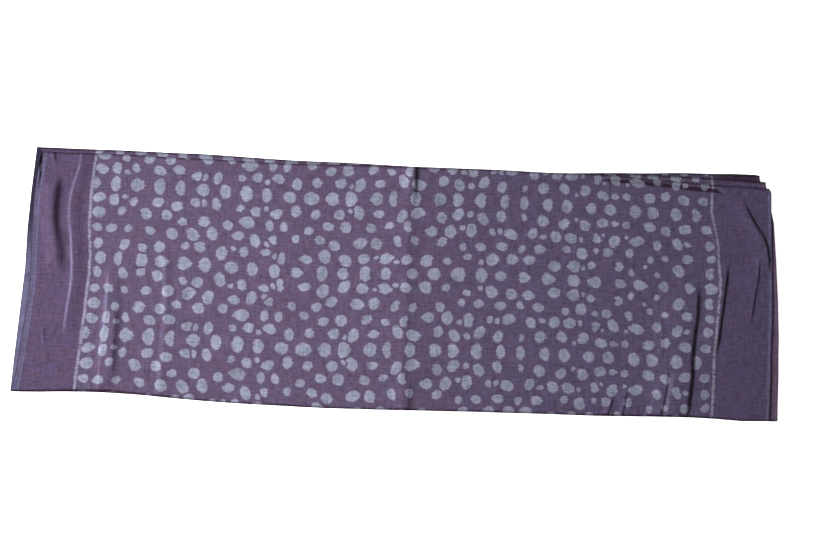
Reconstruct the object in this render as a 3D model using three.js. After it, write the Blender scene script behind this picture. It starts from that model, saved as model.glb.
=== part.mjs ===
// A length of thin ikat cotton cloth, folded back and forth across its loom width into a flat stack.
// The part stands in its own frame: +X runs along the weft from selvedge to selvedge, +Y points to the
// far folds, +Z is up, and the origin is at the middle of the underside. All sizes are in millimetres.

import * as THREE from "three";

// Driving dimensions
const loomWidth = 1120;
const foldDepth = 366;
const clothThickness = 1.0;
const layerPitch = 1.6;
const layerCount = 8;

// The lines across the width where the edges of the stack are measured
const widthMarks = {
  left: -0.5 * loomWidth,
  innerLeft: -0.39 * loomWidth,
  midLeft: -0.25 * loomWidth,
  middle: 0,
  midRight: 0.25 * loomWidth,
  innerRight: 0.39 * loomWidth,
  right: 0.5 * loomWidth,
};

// Where the cloth turns, from its hidden first end at the bottom to its last end on top. Far and near
// turns alternate. The named marks say how far each turn reaches past half the fold depth, and slide
// says how far the cloth has crept along the weft there.
const turns = [
  { left: -5, innerLeft: -6, midLeft: -9, middle: -12, midRight: -13, innerRight: -9, right: -6, slide: -6 },
  { left: -1, innerLeft: -4, midLeft: 1, middle: 4, midRight: 2, innerRight: 0, right: -1, slide: 5 },
  { left: 0, innerLeft: 0, midLeft: -3, middle: -7, midRight: -8, innerRight: -2, right: 0, slide: -8 },
  { left: -2, innerLeft: -3, midLeft: 0, middle: 3, midRight: 3, innerRight: -1, right: -2, slide: 6 },
  { left: -1, innerLeft: -1, midLeft: -4, middle: -8, midRight: -7, innerRight: -3, right: -2, slide: -9 },
  { left: -1, innerLeft: -5, midLeft: 1, middle: 5, midRight: 2, innerRight: 1, right: -1, slide: 3 },
  { left: 0, innerLeft: -1, midLeft: -3, middle: -8, midRight: -9, innerRight: -8, right: -11, slide: -4 },
  { left: 0, innerLeft: -3, midLeft: 2, middle: 5, midRight: 3, innerRight: 0, right: 0, slide: 0 },
  { left: -8, innerLeft: -7, midLeft: -7, middle: -9, midRight: -10, innerRight: -19, right: -24, slide: 0 },
];

// Ridges that the top layer has buckled into. Each crest runs straight from its far point to its near
// point, rises to height, and falls away over its left and right widths.
const ridges = [
  { name: "selvedge roll", xFar: -540, yFar: 130, xNear: -540, yNear: 0, height: 2.2, left: 12, right: 14 },
  { name: "border roll", xFar: -502, yFar: 175, xNear: -494, yNear: -90, height: 3.0, left: 16, right: 20 },
  { name: "field roll", xFar: -441, yFar: -10, xNear: -443, yNear: -150, height: 2.6, left: 22, right: 16 },
  { name: "storage crease", xFar: 4, yFar: 175, xNear: 4, yNear: -175, height: 1.8, left: 70, right: 20 },
  { name: "side buckle", xFar: 388, yFar: -45, xNear: 392, yNear: -178, height: 2.2, left: 10, right: 20 },
  { name: "main buckle", xFar: 441, yFar: 12, xNear: 425, yNear: -182, height: 6.0, left: 26, right: 9 },
  { name: "border buckle", xFar: 487, yFar: 35, xNear: 464, yNear: -110, height: 4.0, left: 22, right: 9 },
  { name: "corner pleat", xFar: 512, yFar: 168, xNear: 549, yNear: 45, height: 3.0, left: 20, right: 10 },
];
const ridgeFade = 45;
const liftedFarEdge = { xStart: 300, height: 2.0, depth: 40 };

// How finely the sheet is divided
const widthSteps = 20;
const leastColumnGap = 7;
const topRuns = 15;
const hiddenRuns = 1;
const turnSteps = 4;
const slopeSpan = 2;

const clamp01 = (value) => Math.min(1, Math.max(0, value));
const smooth = (value) => clamp01(value) ** 2 * (3 - 2 * clamp01(value));

// A smooth line through the seven width marks of a turn, read at x
const markNames = Object.keys(widthMarks);
function reachAt(turn, x) {
  const marks = markNames.map((name) => new THREE.Vector2(widthMarks[name], turn[name]));
  const lastMark = marks.length - 1;
  const passed = marks.filter((mark) => mark.x <= x).length;
  const next = THREE.MathUtils.clamp(passed, 1, lastMark);
  const markAt = (i) => marks[THREE.MathUtils.clamp(i, 0, lastMark)];
  const [before, from, to, after] = [markAt(next - 2), markAt(next - 1), markAt(next), markAt(next + 1)];
  const span = to.x - from.x;
  const slopeFrom = (to.y - before.y) / (to.x - before.x);
  const slopeTo = (after.y - from.y) / (after.x - from.x);
  const s = clamp01((x - from.x) / span);
  const bend = span * (slopeFrom * s * (1 - s) ** 2 - slopeTo * s ** 2 * (1 - s));
  return THREE.MathUtils.lerp(from.y, to.y, smooth(s)) + bend;
}

// Even turns lie on the far side of the stack and odd ones on the near side
const sideOf = (turnIndex) => (turnIndex % 2 === 0 ? 1 : -1);
const edgeAt = (turnIndex, x) => sideOf(turnIndex) * (foldDepth / 2 + reachAt(turns[turnIndex], x));

// How high one ridge lifts the top layer at a point
function ridgeLift(ridge, x, y) {
  const along = (ridge.yFar - y) / (ridge.yFar - ridge.yNear);
  const length = ridge.yFar - ridge.yNear;
  const crest = ridge.xFar + (ridge.xNear - ridge.xFar) * clamp01(along);
  const away = (x - crest) / (x < crest ? ridge.left : ridge.right);
  const reach = Math.min(along, 1 - along) * length;
  const ends = smooth((reach + ridgeFade / 2) / ridgeFade);
  return Math.abs(away) < 1 ? ridge.height * ends * Math.cos((away * Math.PI) / 2) ** 2 : 0;
}

// The height of a layer's middle surface. Only the top layer is buckled, and its far right edge is lifted.
function heightAt(layer, x, y) {
  const level = clothThickness / 2 + layer * layerPitch;
  if (layer < layerCount - 1) return level;
  const buckled = Math.max(...ridges.map((ridge) => ridgeLift(ridge, x, y)));
  const toEdge = smooth(1 - (edgeAt(layerCount, x) - y) / liftedFarEdge.depth);
  const toRight = smooth((x - liftedFarEdge.xStart) / (loomWidth / 2 - liftedFarEdge.xStart));
  return level + Math.max(buckled, liftedFarEdge.height * toEdge * toRight);
}

// The middle line of the cloth at one place on its width: every layer, and every turn as a half circle.
// Each station holds its place, the unit normal of the cloth's face side, and how far it has slid.
function sectionAt(x) {
  const stations = [];
  const turnPlaces = turns.map((turn, i) => {
    const outer = edgeAt(i, x);
    if (i === 0 || i === layerCount) return { start: outer, radius: 0 };
    const radius = (heightAt(i, x, outer) - heightAt(i - 1, x, outer)) / 2;
    return { start: outer - sideOf(i) * radius, radius };
  });
  for (let layer = 0; layer < layerCount; layer++) {
    const heading = -sideOf(layer);
    const [from, to] = [turnPlaces[layer].start, turnPlaces[layer + 1].start];
    const runs = layer === layerCount - 1 ? topRuns : hiddenRuns;
    for (let run = 0; run <= runs; run++) {
      const share = run / runs;
      const y = from + (to - from) * share;
      const rise = heightAt(layer, x, y + slopeSpan / 2) - heightAt(layer, x, y - slopeSpan / 2);
      const normal = new THREE.Vector2(-rise, slopeSpan).normalize().multiplyScalar(heading);
      const slide = THREE.MathUtils.lerp(turns[layer].slide, turns[layer + 1].slide, share);
      stations.push({ y, z: heightAt(layer, x, y), normal, slide });
    }
    if (layer === layerCount - 1) break;
    const side = sideOf(layer + 1);
    const { start, radius } = turnPlaces[layer + 1];
    const centre = heightAt(layer, x, start) + radius;
    for (let step = 1; step < turnSteps; step++) {
      const angle = -Math.PI / 2 + (step / turnSteps) * Math.PI;
      const outward = new THREE.Vector2(side * Math.cos(angle), Math.sin(angle));
      stations.push({
        y: start + radius * outward.x,
        z: centre + radius * outward.y,
        normal: outward.multiplyScalar(-side),
        slide: turns[layer + 1].slide,
      });
    }
  }
  return stations;
}

// The places across the width where the section is taken: the crests, flanks and feet of the ridges, and
// even steps where those leave room
function columnPlaces() {
  const places = [-loomWidth / 2, loomWidth / 2];
  const addWhereFree = (x) => {
    const isFree = places.every((place) => Math.abs(place - x) >= leastColumnGap);
    if (isFree && Math.abs(x) < loomWidth / 2) places.push(x);
  };
  for (const { xFar, xNear } of ridges) [xFar, xNear].forEach(addWhereFree);
  for (const { xFar, xNear, left, right } of ridges) {
    const middle = (xFar + xNear) / 2;
    [middle - left, middle - left / 2, middle + right / 2, middle + right].forEach(addWhereFree);
  }
  for (let step = 1; step < widthSteps; step++) addWhereFree(loomWidth * (step / widthSteps - 1 / 2));
  return places.sort((a, b) => a - b);
}

// The closed sheet: a face side and a back side half a thickness off the middle surface, joined round the rim
function foldedSheet() {
  const columns = columnPlaces().map((x) => ({ x, stations: sectionAt(x) }));
  const stationCount = columns[0].stations.length;
  const positions = [];
  for (const sign of [1, -1]) {
    for (const { x, stations } of columns) {
      for (const { y, z, normal, slide } of stations) {
        const off = (sign * clothThickness) / 2;
        positions.push(x + slide, y + normal.x * off, z + normal.y * off);
      }
    }
  }
  const half = columns.length * stationCount;
  const face = (column, station) => column * stationCount + station;
  const back = (column, station) => half + face(column, station);
  const triangles = [];
  const quad = (a, b, c, d) => triangles.push(a, b, c, a, c, d);
  const lastColumn = columns.length - 1;
  const lastStation = stationCount - 1;
  for (let c = 0; c < lastColumn; c++) {
    for (let s = 0; s < lastStation; s++) {
      quad(face(c, s), face(c + 1, s), face(c + 1, s + 1), face(c, s + 1));
      quad(back(c, s), back(c, s + 1), back(c + 1, s + 1), back(c + 1, s));
    }
    quad(face(c, 0), back(c, 0), back(c + 1, 0), face(c + 1, 0));
    quad(face(c, lastStation), face(c + 1, lastStation), back(c + 1, lastStation), back(c, lastStation));
  }
  for (let s = 0; s < lastStation; s++) {
    quad(face(0, s), face(0, s + 1), back(0, s + 1), back(0, s));
    quad(face(lastColumn, s), back(lastColumn, s), back(lastColumn, s + 1), face(lastColumn, s + 1));
  }
  const sheet = new THREE.BufferGeometry();
  sheet.setAttribute("position", new THREE.Float32BufferAttribute(positions, 3));
  sheet.setIndex(triangles);
  return sheet;
}

// The origin goes to the middle of the underside
function standOnOrigin(geometry) {
  geometry.computeBoundingBox();
  const { min, max } = geometry.boundingBox;
  geometry.translate(-(min.x + max.x) / 2, -(min.y + max.y) / 2, -min.z);
  geometry.computeVertexNormals();
  return geometry;
}

const dyedCotton = new THREE.MeshStandardMaterial({ color: 0x625270, roughness: 0.85, metalness: 0 });
const cloth = new THREE.Mesh(standOnOrigin(foldedSheet()), dyedCotton);
cloth.name = "cloth";

const part = new THREE.Group();
part.add(cloth);

export default part;
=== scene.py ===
# %% [markdown]
# # A folded length of ikat cotton
#
# Ikat is cloth whose pattern is dyed into the yarn before it is woven. Here the weft was tied and dyed, so
# pale pebbles stand on a purple ground, and each pebble is feathered along the weft, where neighbouring
# threads came to lie a little beside their place. The length is 1.12 m wide and nearly 3 m long, and it is
# folded back and forth into eight layers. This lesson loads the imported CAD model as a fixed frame, builds
# one thin sheet on its folds, and gives the sheet a dyed and woven finish.

import math

import bpy
from mathutils import Matrix, Vector, noise


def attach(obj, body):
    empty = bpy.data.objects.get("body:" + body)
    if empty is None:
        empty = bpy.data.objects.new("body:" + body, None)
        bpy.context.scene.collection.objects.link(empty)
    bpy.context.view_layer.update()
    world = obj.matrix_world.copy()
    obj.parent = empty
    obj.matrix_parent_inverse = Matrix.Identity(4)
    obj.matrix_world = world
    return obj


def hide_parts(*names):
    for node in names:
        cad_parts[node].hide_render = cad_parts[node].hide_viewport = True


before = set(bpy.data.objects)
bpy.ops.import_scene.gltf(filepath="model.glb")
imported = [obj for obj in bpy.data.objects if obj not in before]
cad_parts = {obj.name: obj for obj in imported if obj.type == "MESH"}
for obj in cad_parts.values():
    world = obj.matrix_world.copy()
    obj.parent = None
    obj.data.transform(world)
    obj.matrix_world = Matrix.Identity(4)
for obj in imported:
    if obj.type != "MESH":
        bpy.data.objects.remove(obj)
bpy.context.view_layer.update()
print("CAD nodes:", sorted(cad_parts))

# %% [markdown]
# ## The camera
#
# The photograph looks down on the cloth from above its near half and is turned by 4 degrees. A camera
# could be placed by eye, but the four corners of the stack have known places in the frame, so the place,
# the aim and the roll were fitted to where those corners lie in the picture.

# %% Place the camera
CAMERA_PLACE = Vector((0.0375, -0.1133, 1.2023))
CAMERA_AIM = Vector((0.0235, 0.012, 0.006))
CAMERA_ROLL = -0.0722
LENS_MM = 35
NEAREST_SEEN = 0.01


def looking(place, aim, roll=0.0):
    """The matrix of a camera or a lamp that looks from place to aim, rolled about its own line of sight."""
    turn = (aim - place).to_track_quat("-Z", "Y").to_matrix().to_4x4()
    return Matrix.Translation(place) @ turn @ Matrix.Rotation(roll, 4, "Z")


scene = bpy.context.scene
camera = bpy.data.objects.new("camera", bpy.data.cameras.new("camera"))
scene.collection.objects.link(camera)
camera.data.lens = LENS_MM
camera.data.clip_start = NEAREST_SEEN
camera.matrix_world = looking(CAMERA_PLACE, CAMERA_AIM, CAMERA_ROLL)
scene.camera = camera
print("camera is", round((CAMERA_AIM - CAMERA_PLACE).length, 3), "m from its aim")

# %% [markdown]
# ## The floor and the light
#
# The cloth lies on a white surface that the photograph shows without any shade. The light comes from the
# left: the left border is nearly twice as bright as the right one, and every crease is dark on its right.
# One broad lamp at a short distance does both, because its light falls off across the cloth, and a narrowed
# beam keeps the near end of that fall from growing too bright. The shade in the creases is maroon, so the
# surroundings that fill it are a little warmer than the lamp. The standard view keeps colours as they are
# set.

# %% Lay the floor and hang the lamp
FLOOR_SIZE = 12
FLOOR_DROP = 0.0003
FLOOR_PAINT = (0.9, 0.9, 0.9, 1)
FLOOR_GLOW = 0.9
LAMP_PLACE = Vector((-2.9, -0.1, 1.95))
LAMP_AIM = Vector((-0.1, 0, 0))
LAMP_SIZE = 0.7
LAMP_SPREAD = 32
LAMP_POWER = 12.9
LAMP_COLOUR = (0.93, 0.95, 1.0)
SURROUNDINGS = (1.0, 0.92, 0.88, 1.0)
SURROUNDINGS_STRENGTH = 0.2

bpy.ops.object.select_all(action="DESELECT")
bpy.ops.mesh.primitive_plane_add(size=FLOOR_SIZE, location=(0, 0, -FLOOR_DROP))
floor = bpy.context.object
floor.name = "studio_floor"

white_paint = bpy.data.materials.new("white_floor")
white_paint.use_nodes = True
floor_shader = white_paint.node_tree.nodes["Principled BSDF"]
floor_shader.inputs["Base Color"].default_value = FLOOR_PAINT
floor_shader.inputs["Roughness"].default_value = 1.0
floor_shader.inputs["Specular IOR Level"].default_value = 0.0
floor_shader.inputs["Emission Color"].default_value = (1, 1, 1, 1)
floor_shader.inputs["Emission Strength"].default_value = FLOOR_GLOW
floor.data.materials.append(white_paint)

lamp = bpy.data.objects.new("window_light", bpy.data.lights.new("window_light", "AREA"))
scene.collection.objects.link(lamp)
lamp.data.shape = "SQUARE"
lamp.data.size = LAMP_SIZE
lamp.data.spread = math.radians(LAMP_SPREAD)
lamp.data.energy = LAMP_POWER
lamp.data.color = LAMP_COLOUR
lamp.matrix_world = looking(LAMP_PLACE, LAMP_AIM)
lamp.visible_camera = False

world = bpy.data.worlds.new("pale_room")
world.use_nodes = True
world.node_tree.nodes["Background"].inputs["Color"].default_value = SURROUNDINGS
world.node_tree.nodes["Background"].inputs["Strength"].default_value = SURROUNDINGS_STRENGTH
scene.world = world
scene.view_settings.view_transform = "Standard"
print("lamp is", round(LAMP_PLACE.length, 2), "m from the middle of the cloth")

# %% [markdown]
# ## The folded sheet
#
# On the real object this is one piece of cloth, laid down in layers that turn back at the near and the far
# side. It could be folded by a cloth simulation, but eight layers that rest on each other slip and shake
# there, and the folds would not end where the photograph shows them. So the sheet is drawn as a section:
# at one place across the width, a line runs through every layer and round every turn. Many such lines side
# by side make the sheet. The stack has the CAD model's own layers and sizes in millimetres, and its edges
# are drawn a little more closely, so the sheet lies on the model's folds.

# %% State the sizes of the stack
MM = 0.001
LOOM_WIDTH = 1120
HALF_WIDTH = LOOM_WIDTH / 2
FOLD_DEPTH = 366
CLOTH_THICKNESS = 0.45
LOWEST_LAYER = 0.5
LAYER_PITCH = 1.6
LAYER_COUNT = 8
TOP_LAYER = LAYER_COUNT - 1

# The frame's origin is the middle of the CAD model's box, and its uneven edges put that middle this far,
# as (x, y), from the middle of the loom width and of the fold depth
CENTRE_SHIFT = (1.5, 2.6)

# How far the far and the near side of the stack reach past half the fold depth, as (x, reach) points
FAR_OUTLINE = [
    (-560, 1.0), (-495, 0.9), (-425, 1.1), (-350, -0.5), (-290, -1.4), (-233, -3.6), (-157, -5.6),
    (-81, -5.8), (-10, -7.3), (70, -7.6), (146, -7.8), (222, -9.0), (262, -8.0), (300, -6.1),
    (373, -3.7), (411, -1.9), (478, -1.0), (515, 0.2), (545, 0.0),
]
NEAR_OUTLINE = [
    (-560, 2.6), (-520, 1.8), (-463, -1.0), (-396, -0.2), (-322, 3.2), (-260, 6.0), (-174, 7.2),
    (-100, 8.2), (-27, 7.6), (47, 6.4), (120, 5.6), (193, 4.9), (267, 4.1), (340, 2.8), (413, 0.8),
    (449, 0.8), (507, 2.8), (548, 1.4),
]

# How far each turn stays behind that outline at seven lines across the width, and how far the cloth has
# crept along the weft there. The first row is the hidden end and the last row the end on top. Even rows
# are far.
WIDTH_MARKS = [mark * LOOM_WIDTH for mark in (-0.5, -0.39, -0.25, 0.0, 0.25, 0.39, 0.5)]
TURN_INSETS = [
    (6, 6, 5, 5, 5, 7, 7),
    (0, 1, 0, 0.5, 0, 0, 3),
    (0, 0, 1, 0, 0.5, 0, 0.5),
    (1, 0, 1, 1, 0, 1, 3),
    (1, 1, 1.5, 1, 0.5, 1, 2),
    (0.5, 1, 0, 0, 1, 0, 2),
    (0.5, 1, 0.5, 1, 2, 7.5, 13),
    (1, 2, 0.5, 0.5, 1, 0.5, 0),
    (8, 8, 8, 3, 3.5, 17.5, 24),
]
TURN_SLIDES = [-2, 1, -1, 2, 1.5, -2, 0, 0, 0]

# Where the selvedges lie, as (y, x) points: of the lower layers together, and of the top layer
STACK_LEFT = [
    (-184, -564), (-125, -563.5), (-81, -562), (-36, -560), (-5, -559.8), (40, -562), (101, -561.5),
    (147, -560), (180, -558.5),
]
STACK_RIGHT = [
    (-184, 559.5), (-140, 560), (-103, 562), (-59, 562.5), (-14, 562), (30, 560.5), (77, 558), (120, 555),
    (165, 553),
]
TOP_LEFT = [
    (-177, -561.4), (-144, -558), (-105, -555.4), (-75, -553), (-36, -551), (15, -552), (75, -554.5),
    (105, -555), (171, -550),
]
TOP_RIGHT = [(-179, 547.5), (-128, 549.5), (-71, 551), (-30, 552.5), (50, 552.5), (171, 551)]
print("the flat stack is", round(LOWEST_LAYER + TOP_LAYER * LAYER_PITCH, 1), "mm high at its top layer")


# %% Draw a smooth line through a few measured points
def along(points, at):
    """The value at one place of a smooth line through (place, value) points, level beyond its ends."""
    last = len(points) - 1
    passed = sum(1 for place, _ in points if place <= at)
    after = min(max(passed, 1), last)
    (x0, y0), (x1, y1) = points[after - 1], points[after]
    before, beyond = points[max(after - 2, 0)], points[min(after + 1, last)]
    slope_in = (y1 - before[1]) / (x1 - before[0])
    slope_out = (beyond[1] - y0) / (beyond[0] - x0)
    share = min(max((at - x0) / (x1 - x0), 0.0), 1.0)
    bend = (x1 - x0) * (slope_in * share * (1 - share) ** 2 - slope_out * share**2 * (1 - share))
    return y0 + (y1 - y0) * ease(share) + bend


def ease(share):
    """A smooth step from 0 to 1."""
    share = min(max(share, 0.0), 1.0)
    return share * share * (3 - 2 * share)


print("half way between two marks at 0 and 4 mm:", along([(0, 0), (10, 4)], 5))

# %% [markdown]
# ## The edges of the stack
#
# A hand-folded stack has no straight edge. Each turn keeps its own distance behind the measured outline,
# and a little wander is added, slow along the edge and faster for the last third of a millimetre. The noise
# comes from `mathutils.noise`, which gives the same value at the same place in every run. The selvedges are
# drawn in the same way: the lower layers stand out beyond the top one. At the far right corner the layers
# were tucked in as two groups, and the corner of the top layer is rounded.

# %% Find where each turn and each selvedge lies
# A wander is its size in mm, its span in mm and the number of its first lot
SLOW_WANDER = (0.5, 90, 1)
QUICK_WANDER = (0.3, 22, 21)
SELVEDGE_WANDER = (0.9, 60, 80)
LOT_STEP = 7.31

# The line of the selvedge carries the cloth along as far as this. Each layer has its own stretch of the
# wander, and the lower layers wander more than the top one.
SELVEDGE_REACH = 90
SELVEDGE_LAYER_STEP = 9
LOWER_LAYERS_WANDER = 1.3

# The two tucks are (how far they draw in, the highest level they hold). Where the tucks and the rounding
# begin, and over what span they grow, is given as (x, y).
LOW_TUCK = (18, 4.5)
HIGH_TUCK = (9, 6.5)
TUCK_START = (455, 135)
TUCK_SPAN = (100, 35)
ROUNDING = 6
ROUNDING_START = (535, 149)
ROUNDING_SPAN = (15, 12)


def drift(x, y, wander, member=0):
    """A gentle random value at a place, for one member of the family that shares a wander."""
    size, span, first_lot = wander
    return size * noise.noise(Vector((x / span, y / span, (first_lot + member) * LOT_STEP)))


def side_of(turn):
    """1 for a turn on the far side and -1 for one on the near side."""
    return 1 if turn % 2 == 0 else -1


def edge_at(turn, x):
    """How far out, in mm along Y, the cloth turns at a place across the width."""
    outline = FAR_OUTLINE if side_of(turn) > 0 else NEAR_OUTLINE
    reach = along(outline, x) - along(list(zip(WIDTH_MARKS, TURN_INSETS[turn])), x)
    reach += drift(x, 0, SLOW_WANDER, turn) + drift(x, 0, QUICK_WANDER, turn)
    return side_of(turn) * (FOLD_DEPTH / 2 + reach)


def selvedge_shift(x, y, level):
    """How far, in mm along X, the line of the selvedge carries the cloth beside it, at a level in layers."""
    near_selvedge = ease((abs(x) - HALF_WIDTH + SELVEDGE_REACH) / SELVEDGE_REACH)
    if near_selvedge == 0:
        return 0.0
    top, stack = (TOP_RIGHT, STACK_RIGHT) if x > 0 else (TOP_LEFT, STACK_LEFT)
    on_top = ease(level - TOP_LAYER + 1)
    line = along(top, y) * on_top + along(stack, y) * (1 - on_top)
    wander = drift(y, SELVEDGE_LAYER_STEP * round(level), SELVEDGE_WANDER, x > 0)
    line += wander * (LOWER_LAYERS_WANDER - on_top)
    return (line - math.copysign(HALF_WIDTH, x)) * near_selvedge


def tucked_in(x, y, level):
    """How far, in mm along X, a tuck or the rounding draws a layer in at the far right corner."""
    tuck_x = (x - TUCK_START[0]) / TUCK_SPAN[0]
    tuck_y = (y - TUCK_START[1]) / TUCK_SPAN[1]
    for depth, highest in (LOW_TUCK, HIGH_TUCK):
        if level < highest:
            return -depth * ease(tuck_x) * ease(tuck_y)
    corner_x = (x - ROUNDING_START[0]) / ROUNDING_SPAN[0]
    corner_y = (y - ROUNDING_START[1]) / ROUNDING_SPAN[1]
    return -ROUNDING * ease(corner_x) * min(max(corner_y, 0.0), 1.0) ** 3


print("the top end lies", round(edge_at(LAYER_COUNT, -500), 1), "mm out at the left")
print("and", round(edge_at(LAYER_COUNT, 500), 1), "mm out at the right")

# %% [markdown]
# ## Creases
#
# The top layer carries the marks of how it was stored and pushed together: soft rolls in the left border,
# a storage crease near the middle, and sharp buckles towards the right. Sculpting them by hand would not
# repeat from run to run. Each crease is a crest line through points read off the photograph, with its
# height and the width of its left and right flank. Most are narrow on their right, away from the light,
# and the photograph shows a dark line there.

# %% List the creases of the top layer
# Each row holds a name, the kind of flank, the height, the widths of the left and right flank, and the
# crest from near to far as (y, x) points, all in mm. A sharp crest falls off steeply on both sides, a soft
# one is a rounded wave, and a rounded one falls off steeply on its left and late on its right.
SHARP, SOFT, ROUNDED = "sharp", "soft", "rounded"
CREASES = [
    ("selvedge roll", SOFT, 5.3, 25, 12.5,
     [(-12, -508), (5, -510), (33, -514), (45, -517), (60, -521), (75, -524), (96, -525), (120, -524.5),
      (145, -523.5)]),
    ("selvedge curl", SHARP, 2.6, 6, 3, [(112, -552), (140, -549.5), (155, -551), (190, -548)]),
    ("border roll", ROUNDED, 2.4, 4.5, 18,
     [(-105, -491.5), (-75, -490.6), (-51, -488.5), (-27, -487), (-3, -487), (21, -489.4), (45, -492.4),
      (69, -496.6), (87, -498.4), (108, -498.4), (126, -495.4), (141, -492.4), (156, -488.5), (195, -488.5)]),
    ("corner nick", SHARP, 2.8, 6, 2.4, [(155, -525), (166, -528), (186, -537)]),
    ("border nick", SHARP, 1.5, 6, 2, [(-115, -519), (-98, -523), (-80, -520)]),
    ("field roll", ROUNDED, 2.5, 9, 23, [(-212, -433), (-120, -434), (-60, -431.5), (10, -433)]),
    ("field hollow", SOFT, 1.9, 14, 9, [(-165, -418), (-130, -418), (-75, -418), (-48, -419)]),
    ("field wave", SOFT, 1.3, 9, 13, [(-215, -347), (-100, -343), (-30, -346), (45, -353)]),
    ("first streak", SHARP, 0.7, 10, 5, [(-180, -366), (-110, -366)]),
    ("second streak", SHARP, 0.7, 10, 5, [(-165, -332), (-100, -332)]),
    ("third streak", SHARP, 0.6, 10, 5, [(-75, -321), (15, -321)]),
    ("fourth streak", SHARP, 0.6, 10, 6, [(-175, -297), (-65, -297)]),
    ("fifth streak", SHARP, 0.6, 10, 6, [(-82, -285), (74, -285)]),
    ("sixth streak", SHARP, 0.5, 10, 5, [(-38, -15), (55, -15)]),
    ("storage crease", SHARP, 2.0, 70, 20, [(-215, 13), (0, 12), (215, 13)]),
    ("storage fold, far", SOFT, 3.0, 24, 7.5, [(116, 16.5), (208, 16.5)]),
    ("storage fold, near", SOFT, 1.9, 24, 8, [(-208, 19), (-138, 19)]),
    ("far nick", SHARP, 1.2, 8, 2.5, [(138, 310.5), (200, 310.5)]),
    ("first near nick", SHARP, 2.2, 10, 2.5, [(-212, 301), (-179, 312.3), (-166, 317.2), (-146, 322)]),
    ("second near nick", SHARP, 1.7, 10, 2.5, [(-212, 328), (-179, 333.7), (-155, 338.1), (-134, 341)]),
    ("first near rumple", SHARP, 0.8, 6, 3, [(-210, 352), (-160, 356)]),
    ("second near rumple", SHARP, 0.8, 6, 3, [(-210, 372), (-165, 375)]),
    ("side streak", SHARP, 0.9, 14, 5, [(-112, 390), (-33, 390)]),
    ("side ridge", SOFT, 2.1, 25, 5, [(-210, 384), (-179, 387.5), (-155, 392.5), (-130, 396), (-110, 398)]),
    ("side fold", SOFT, 1.8, 7, 28, [(-210, 398), (-165, 400.5), (-150, 402.5), (-130, 407), (-110, 410)]),
    ("main buckle", SOFT, 4.6, 70, 9.5,
     [(-193, 422), (-170, 424.4), (-155, 426.3), (-128, 429.3), (-90, 430.7), (-63, 433.7), (-33, 437.7),
      (-3, 439), (16, 439.5)]),
    ("border buckle", SOFT, 3.0, 40, 6,
     [(-97, 466.3), (-71, 470.3), (-41, 474.3), (-18, 477.3), (5, 480.3), (28, 483.3), (50, 486)]),
    ("line nick", SHARP, 0.9, 8, 3, [(42, 473.5), (60, 471), (100, 465), (120, 462.5)]),
    ("selvedge buckle", SHARP, 1.7, 26, 3.2,
     [(-52, 519), (-33, 521.4), (-14, 524.4), (5, 527.4), (24, 531.2), (43, 532.8), (62, 534.5)]),
    ("corner pleat", SHARP, 3.1, 34, 4.2,
     [(26, 547.2), (43, 546.6), (58, 545.2), (73, 542.8), (87, 537.2), (102, 527.6), (119, 518.2),
      (136, 509.7), (148, 504)]),
]
CREASE_FADE = 28
print(len(CREASES), "creases on the top layer")


# %% Measure how far a crease lifts the cloth
def crease_lift(crease, x, y):
    """How far, in mm, one crease lifts the top layer at a place."""
    _, kind, height, left, right, crest = crease
    near, far = crest[0][0], crest[-1][0]
    to_end = min(y - near, far - y)
    if to_end <= 0:
        return 0.0
    away = x - along(crest, y)
    on_left = away < 0
    away = abs(away) / (left if on_left else right)
    if away >= 1:
        return 0.0
    if kind == SOFT:
        flank = math.cos(away * math.pi / 2) ** 2
    elif kind == ROUNDED and not on_left:
        flank = 1 - away**2
    else:
        flank = (1 - away) ** 2
    return height * flank * ease(to_end / min(CREASE_FADE, (far - near) / 2))


main_buckle = next(crease for crease in CREASES if crease[0] == "main buckle")
main_rise = max(crease_lift(main_buckle, x, -100) for x in range(400, 450))
print("the main buckle rises", round(main_rise, 2), "mm")

# %% [markdown]
# ## The height of each layer
#
# The layers lie 1.6 mm apart, because folded cotton keeps some air between its layers. That spacing swells
# and sinks a little over the stack, and each layer has its own faint waves, which stay small enough for no
# layer to touch the next. Only the top layer carries the creases. Its far edge lifts off at the right,
# where the photograph shows a dark gap below it. A long slack tuck runs beside that edge and comes down
# towards the layer below, but stays a little above it.

# %% Find the height of a layer
# Squeezing a coordinate draws the waves out along it
SWELL = (0.10, 190, 40)
LAYER_WAVE = (0.28, 75, 50)
TOP_WAVE = (0.55, 95, 61)
TOP_WAVE_SQUEEZE = 0.5
TOP_RIPPLE = (0.14, 24, 60)
TOP_RIPPLE_SQUEEZE = 0.6
LEAST_AIR = 0.1
LIFT_START = 300
LIFT_HEIGHT = 2.0
LIFT_DEPTH = 40

# The line of the slack tuck, as (x, y) points
EDGE_TUCK = [
    (290, 164), (347, 163), (372, 161.3), (400, 159), (415, 157.3), (434, 155.5), (450, 154.4), (468, 153.4),
    (480, 149), (492, 144),
]
EDGE_TUCK_DEPTH = 1.3
EDGE_TUCK_HALF = 8
EDGE_TUCK_FADE = 25


def to_edge_tuck(x, y):
    """How far, in mm, a place lies past the line of the edge tuck, and how much of the tuck is there."""
    from_ends = min(x - EDGE_TUCK[0][0], EDGE_TUCK[-1][0] - x)
    return y - along(EDGE_TUCK, x), ease(from_ends / EDGE_TUCK_FADE)


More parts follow.
